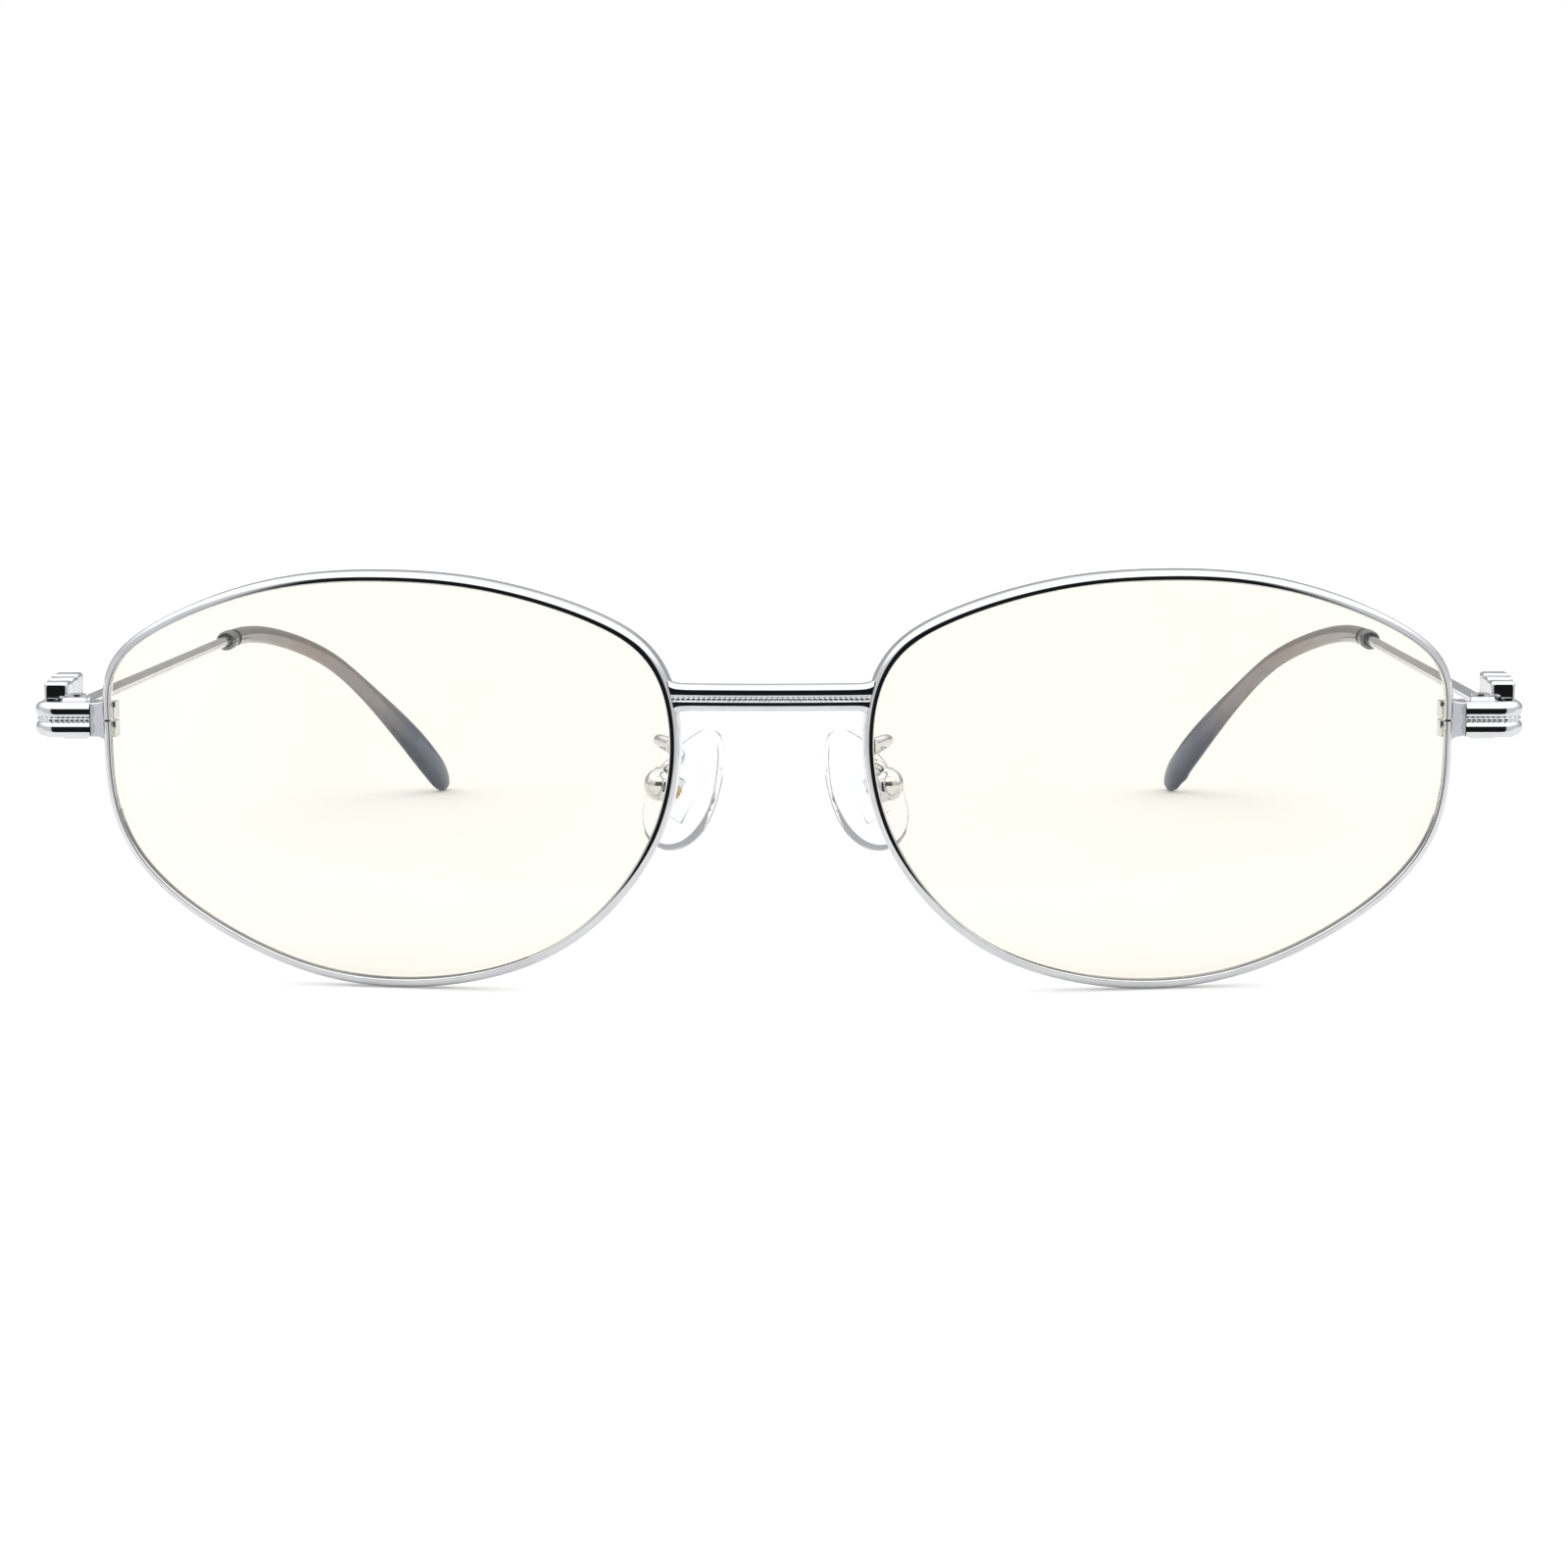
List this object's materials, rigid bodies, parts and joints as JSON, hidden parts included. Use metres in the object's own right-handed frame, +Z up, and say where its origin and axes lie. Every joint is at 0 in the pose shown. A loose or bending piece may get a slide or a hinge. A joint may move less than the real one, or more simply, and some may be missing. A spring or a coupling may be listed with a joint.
{
  "type": "wire eyeglasses",
  "caption": "Metal full-rim eyeglasses with wide oval lenses, double-reeded bridge, folding wire temples and rocking nose pads.",
  "frame": {"origin": "centre of the bounding box in x and y, on the table that the rim bottoms and temple tips stand on", "axes": "+Z up, -Y the way the lenses face, +Y towards the wearer along the open temples, +X towards the temple on the viewer's right when the lenses are seen from the front"},
  "size_m": [0.136, 0.1431, 0.0385],
  "materials": {
    "frame_metal": "polished",
    "screw_metal": "fine turned",
    "pad_screw_metal": "satin",
    "collar_metal": "dark polished",
    "lens": "clear, polished, faint warm tint",
    "tip_plastic": "polished translucent grey, darker towards the end",
    "insert_plastic": "clear polished",
    "pad_silicone": "clear satin silicone"
  },
  "bodies": {
    "front": {"rim_left": "frame_metal", "rim_right": "frame_metal", "lens_left": "lens", "lens_right": "lens", "bridge": "frame_metal", "closing_block_upper_left": "frame_metal", "closing_block_upper_right": "frame_metal", "closing_block_lower_left": "frame_metal", "closing_block_lower_right": "frame_metal", "closing_screw_left": "screw_metal", "closing_screw_right": "screw_metal", "end_piece_left": "frame_metal", "end_piece_right": "frame_metal", "hinge_front_left": "frame_metal", "hinge_front_right": "frame_metal", "hinge_screw_left": "screw_metal", "hinge_screw_right": "screw_metal", "pad_arm_left": "frame_metal", "pad_arm_right": "frame_metal", "pad_box_left": "frame_metal", "pad_box_right": "frame_metal", "pad_screw_left": "pad_screw_metal", "pad_screw_right": "pad_screw_metal"},
    "temple_arm_left": {"hinge_temple_left": "frame_metal", "temple_block_left": "frame_metal", "temple_wire_left": "frame_metal", "temple_collar_left": "collar_metal", "temple_tip_left": "tip_plastic"},
    "temple_arm_right": {"hinge_temple_right": "frame_metal", "temple_block_right": "frame_metal", "temple_wire_right": "frame_metal", "temple_collar_right": "collar_metal", "temple_tip_right": "tip_plastic"},
    "nose_pad_unit_left": {"nose_pad_left": "pad_silicone", "pad_insert_left": "insert_plastic"},
    "nose_pad_unit_right": {"nose_pad_right": "pad_silicone", "pad_insert_right": "insert_plastic"}
  },
  "joints": [
    {"name": "temple_fold_left", "type": "hinge", "parent": "front", "child": "temple_arm_left", "pos_m": [-0.0643, -0.05923, 0.02427], "axis": [0, 0, -1], "range_deg": [0, 82]},
    {"name": "temple_fold_right", "type": "hinge", "parent": "front", "child": "temple_arm_right", "pos_m": [0.0643, -0.05923, 0.02427], "axis": [0, 0, 1], "range_deg": [0, 70]},
    {"name": "nose_pad_rock_left", "type": "hinge", "parent": "front", "child": "nose_pad_unit_left", "pos_m": [-0.00979, -0.06288, 0.01836], "axis": [0.5962, -0.7431, -0.3038], "range_deg": [-12, 12]},
    {"name": "nose_pad_rock_right", "type": "hinge", "parent": "front", "child": "nose_pad_unit_right", "pos_m": [0.00979, -0.06288, 0.01836], "axis": [0.5962, 0.7431, 0.3038], "range_deg": [-12, 12]}
  ]
}
